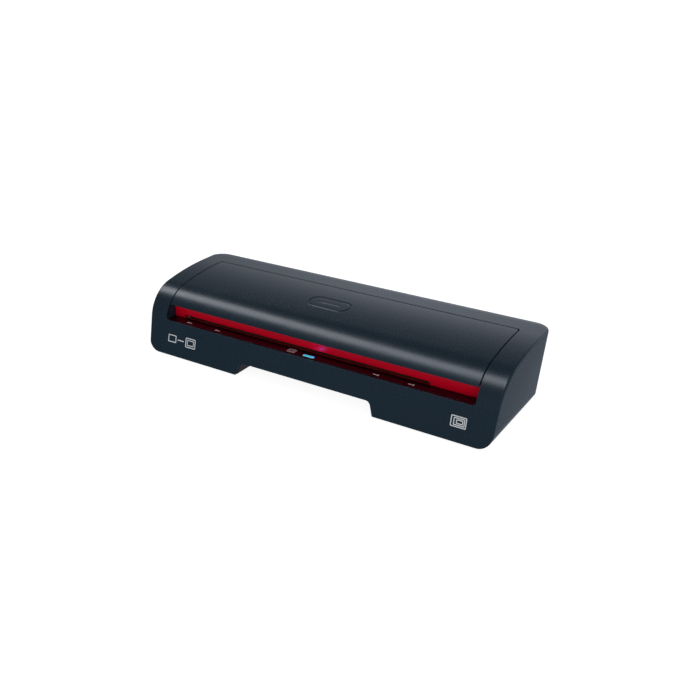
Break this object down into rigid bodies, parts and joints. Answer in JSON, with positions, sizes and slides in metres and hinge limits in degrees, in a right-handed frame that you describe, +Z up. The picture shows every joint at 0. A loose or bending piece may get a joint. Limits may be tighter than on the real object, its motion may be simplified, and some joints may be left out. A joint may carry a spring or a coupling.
{
  "type": "pouch laminator",
  "caption": "Desktop pouch laminator in a low wedge casing: red feed mouth with ledge in front, heated silicone roller pairs and gear drive inside, exit slot and rocker switch behind.",
  "frame": {"origin": "centre of the footprint, on the plane the rubber feet stand on", "axes": "+X to the right seen from the front, +Y from the feed mouth to the back, +Z up"},
  "size_m": [0.331, 0.106, 0.06],
  "materials": {
    "shell": "satin, fine moulded texture",
    "black_plastic": "matt moulded",
    "rocker": "semi-gloss moulded",
    "red": "gloss moulded",
    "ledge": "high gloss, dark wine",
    "light": "clear tinted light pipe",
    "board": "solder resist",
    "foot": "matt",
    "screw": "zinc plated",
    "sheet_steel": "zinc coated sheet",
    "bar_steel": "ground bar",
    "spring_steel": "drawn wire",
    "silicone": "ground silicone rubber",
    "acetal": "natural acetal",
    "aluminium": "mill finish",
    "mica": "mica paper"
  },
  "bodies": {
    "casing": {"upper_case": "shell", "top_cover": "shell", "base_tray": "black_plastic", "feed_bezel": "red", "feed_ledge": "ledge", "led_lens": "light", "led_board": "board", "foot_front_left": "foot", "foot_front_right": "foot", "foot_rear_left": "foot", "foot_rear_right": "foot", "case_screws": "screw", "left_frame": "sheet_steel", "right_frame": "sheet_steel", "frame_screws": "screw", "heat_shield": "sheet_steel", "cross_screws": "screw", "lower_bushes": "acetal", "front_spring_left": "spring_steel", "front_spring_right": "spring_steel", "rear_spring_left": "spring_steel", "rear_spring_right": "spring_steel", "spring_caps": "sheet_steel", "idler_pin": "bar_steel", "drive_motor": "sheet_steel", "motor_bracket": "sheet_steel", "motor_standoffs": "bar_steel", "bracket_screws": "screw", "upper_heater_plate": "aluminium", "lower_heater_plate": "aluminium", "upper_heater_element": "mica", "lower_heater_element": "mica", "thermostat": "black_plastic", "thermal_fuse": "sheet_steel", "control_board": "board", "switch_body": "black_plastic", "cord_gland": "black_plastic", "exit_guide": "black_plastic"},
    "front_carrier": {"front_block_left": "acetal", "front_block_right": "acetal"},
    "rear_carrier": {"rear_block_left": "acetal", "rear_block_right": "acetal"},
    "lower_front": {"lower_front_roller": "silicone", "lower_front_shaft": "bar_steel", "lower_front_gear": "acetal"},
    "upper_front": {"upper_front_roller": "silicone", "upper_front_shaft": "bar_steel", "upper_front_gear": "acetal"},
    "lower_rear": {"lower_rear_roller": "silicone", "lower_rear_shaft": "bar_steel", "lower_rear_gear": "acetal"},
    "upper_rear": {"upper_rear_roller": "silicone", "upper_rear_shaft": "bar_steel", "upper_rear_gear": "acetal"},
    "idler": {"idler_gear": "acetal"},
    "pinion": {"drive_pinion": "acetal", "motor_output_shaft": "bar_steel"},
    "rocker": {"power_rocker": "rocker"}
  },
  "joints": [
    {"name": "lower_front_roller_spin", "type": "hinge", "parent": "casing", "child": "lower_front", "pos_m": [0, -0.016, 0.02395], "axis": [1, 0, 0], "continuous": true},
    {"name": "front_nip_lift", "type": "slide", "parent": "casing", "child": "front_carrier", "axis": [0, 0, 1], "range_m": [0, 0.0006], "stiffness_N_per_m": 1500, "springref_m": -0.001, "deforming": ["front_spring_left", "front_spring_right"]},
    {"name": "upper_front_roller_spin", "type": "hinge", "parent": "front_carrier", "child": "upper_front", "pos_m": [0, -0.016, 0.04005], "axis": [1, 0, 0], "continuous": true},
    {"name": "lower_rear_roller_spin", "type": "hinge", "parent": "casing", "child": "lower_rear", "pos_m": [0, 0.02828, 0.02395], "axis": [1, 0, 0], "continuous": true},
    {"name": "rear_nip_lift", "type": "slide", "parent": "casing", "child": "rear_carrier", "axis": [0, 0, 1], "range_m": [0, 0.0006], "stiffness_N_per_m": 1500, "springref_m": -0.001, "deforming": ["rear_spring_left", "rear_spring_right"]},
    {"name": "upper_rear_roller_spin", "type": "hinge", "parent": "rear_carrier", "child": "upper_rear", "pos_m": [0, 0.02828, 0.04005], "axis": [1, 0, 0], "continuous": true},
    {"name": "idler_spin", "type": "hinge", "parent": "casing", "child": "idler", "pos_m": [0, 0.00614, 0.02395], "axis": [1, 0, 0], "continuous": true},
    {"name": "drive_pinion_spin", "type": "hinge", "parent": "casing", "child": "pinion", "pos_m": [0, 0.00614, 0.04508], "axis": [1, 0, 0], "continuous": true},
    {"name": "power_rocker_tilt", "type": "hinge", "parent": "casing", "child": "rocker", "pos_m": [0.136, 0.04494, 0.02433], "axis": [-1, 0, 0], "range_deg": [0, 18]}
  ],
  "couplings": [
    {"joint": "upper_front_roller_spin", "follows": "lower_front_roller_spin", "ratio": -1},
    {"joint": "lower_rear_roller_spin", "follows": "lower_front_roller_spin", "ratio": 1},
    {"joint": "upper_rear_roller_spin", "follows": "lower_front_roller_spin", "ratio": -1},
    {"joint": "idler_spin", "follows": "lower_front_roller_spin", "ratio": -0.57143},
    {"joint": "drive_pinion_spin", "follows": "lower_front_roller_spin", "ratio": 1.1429}
  ]
}
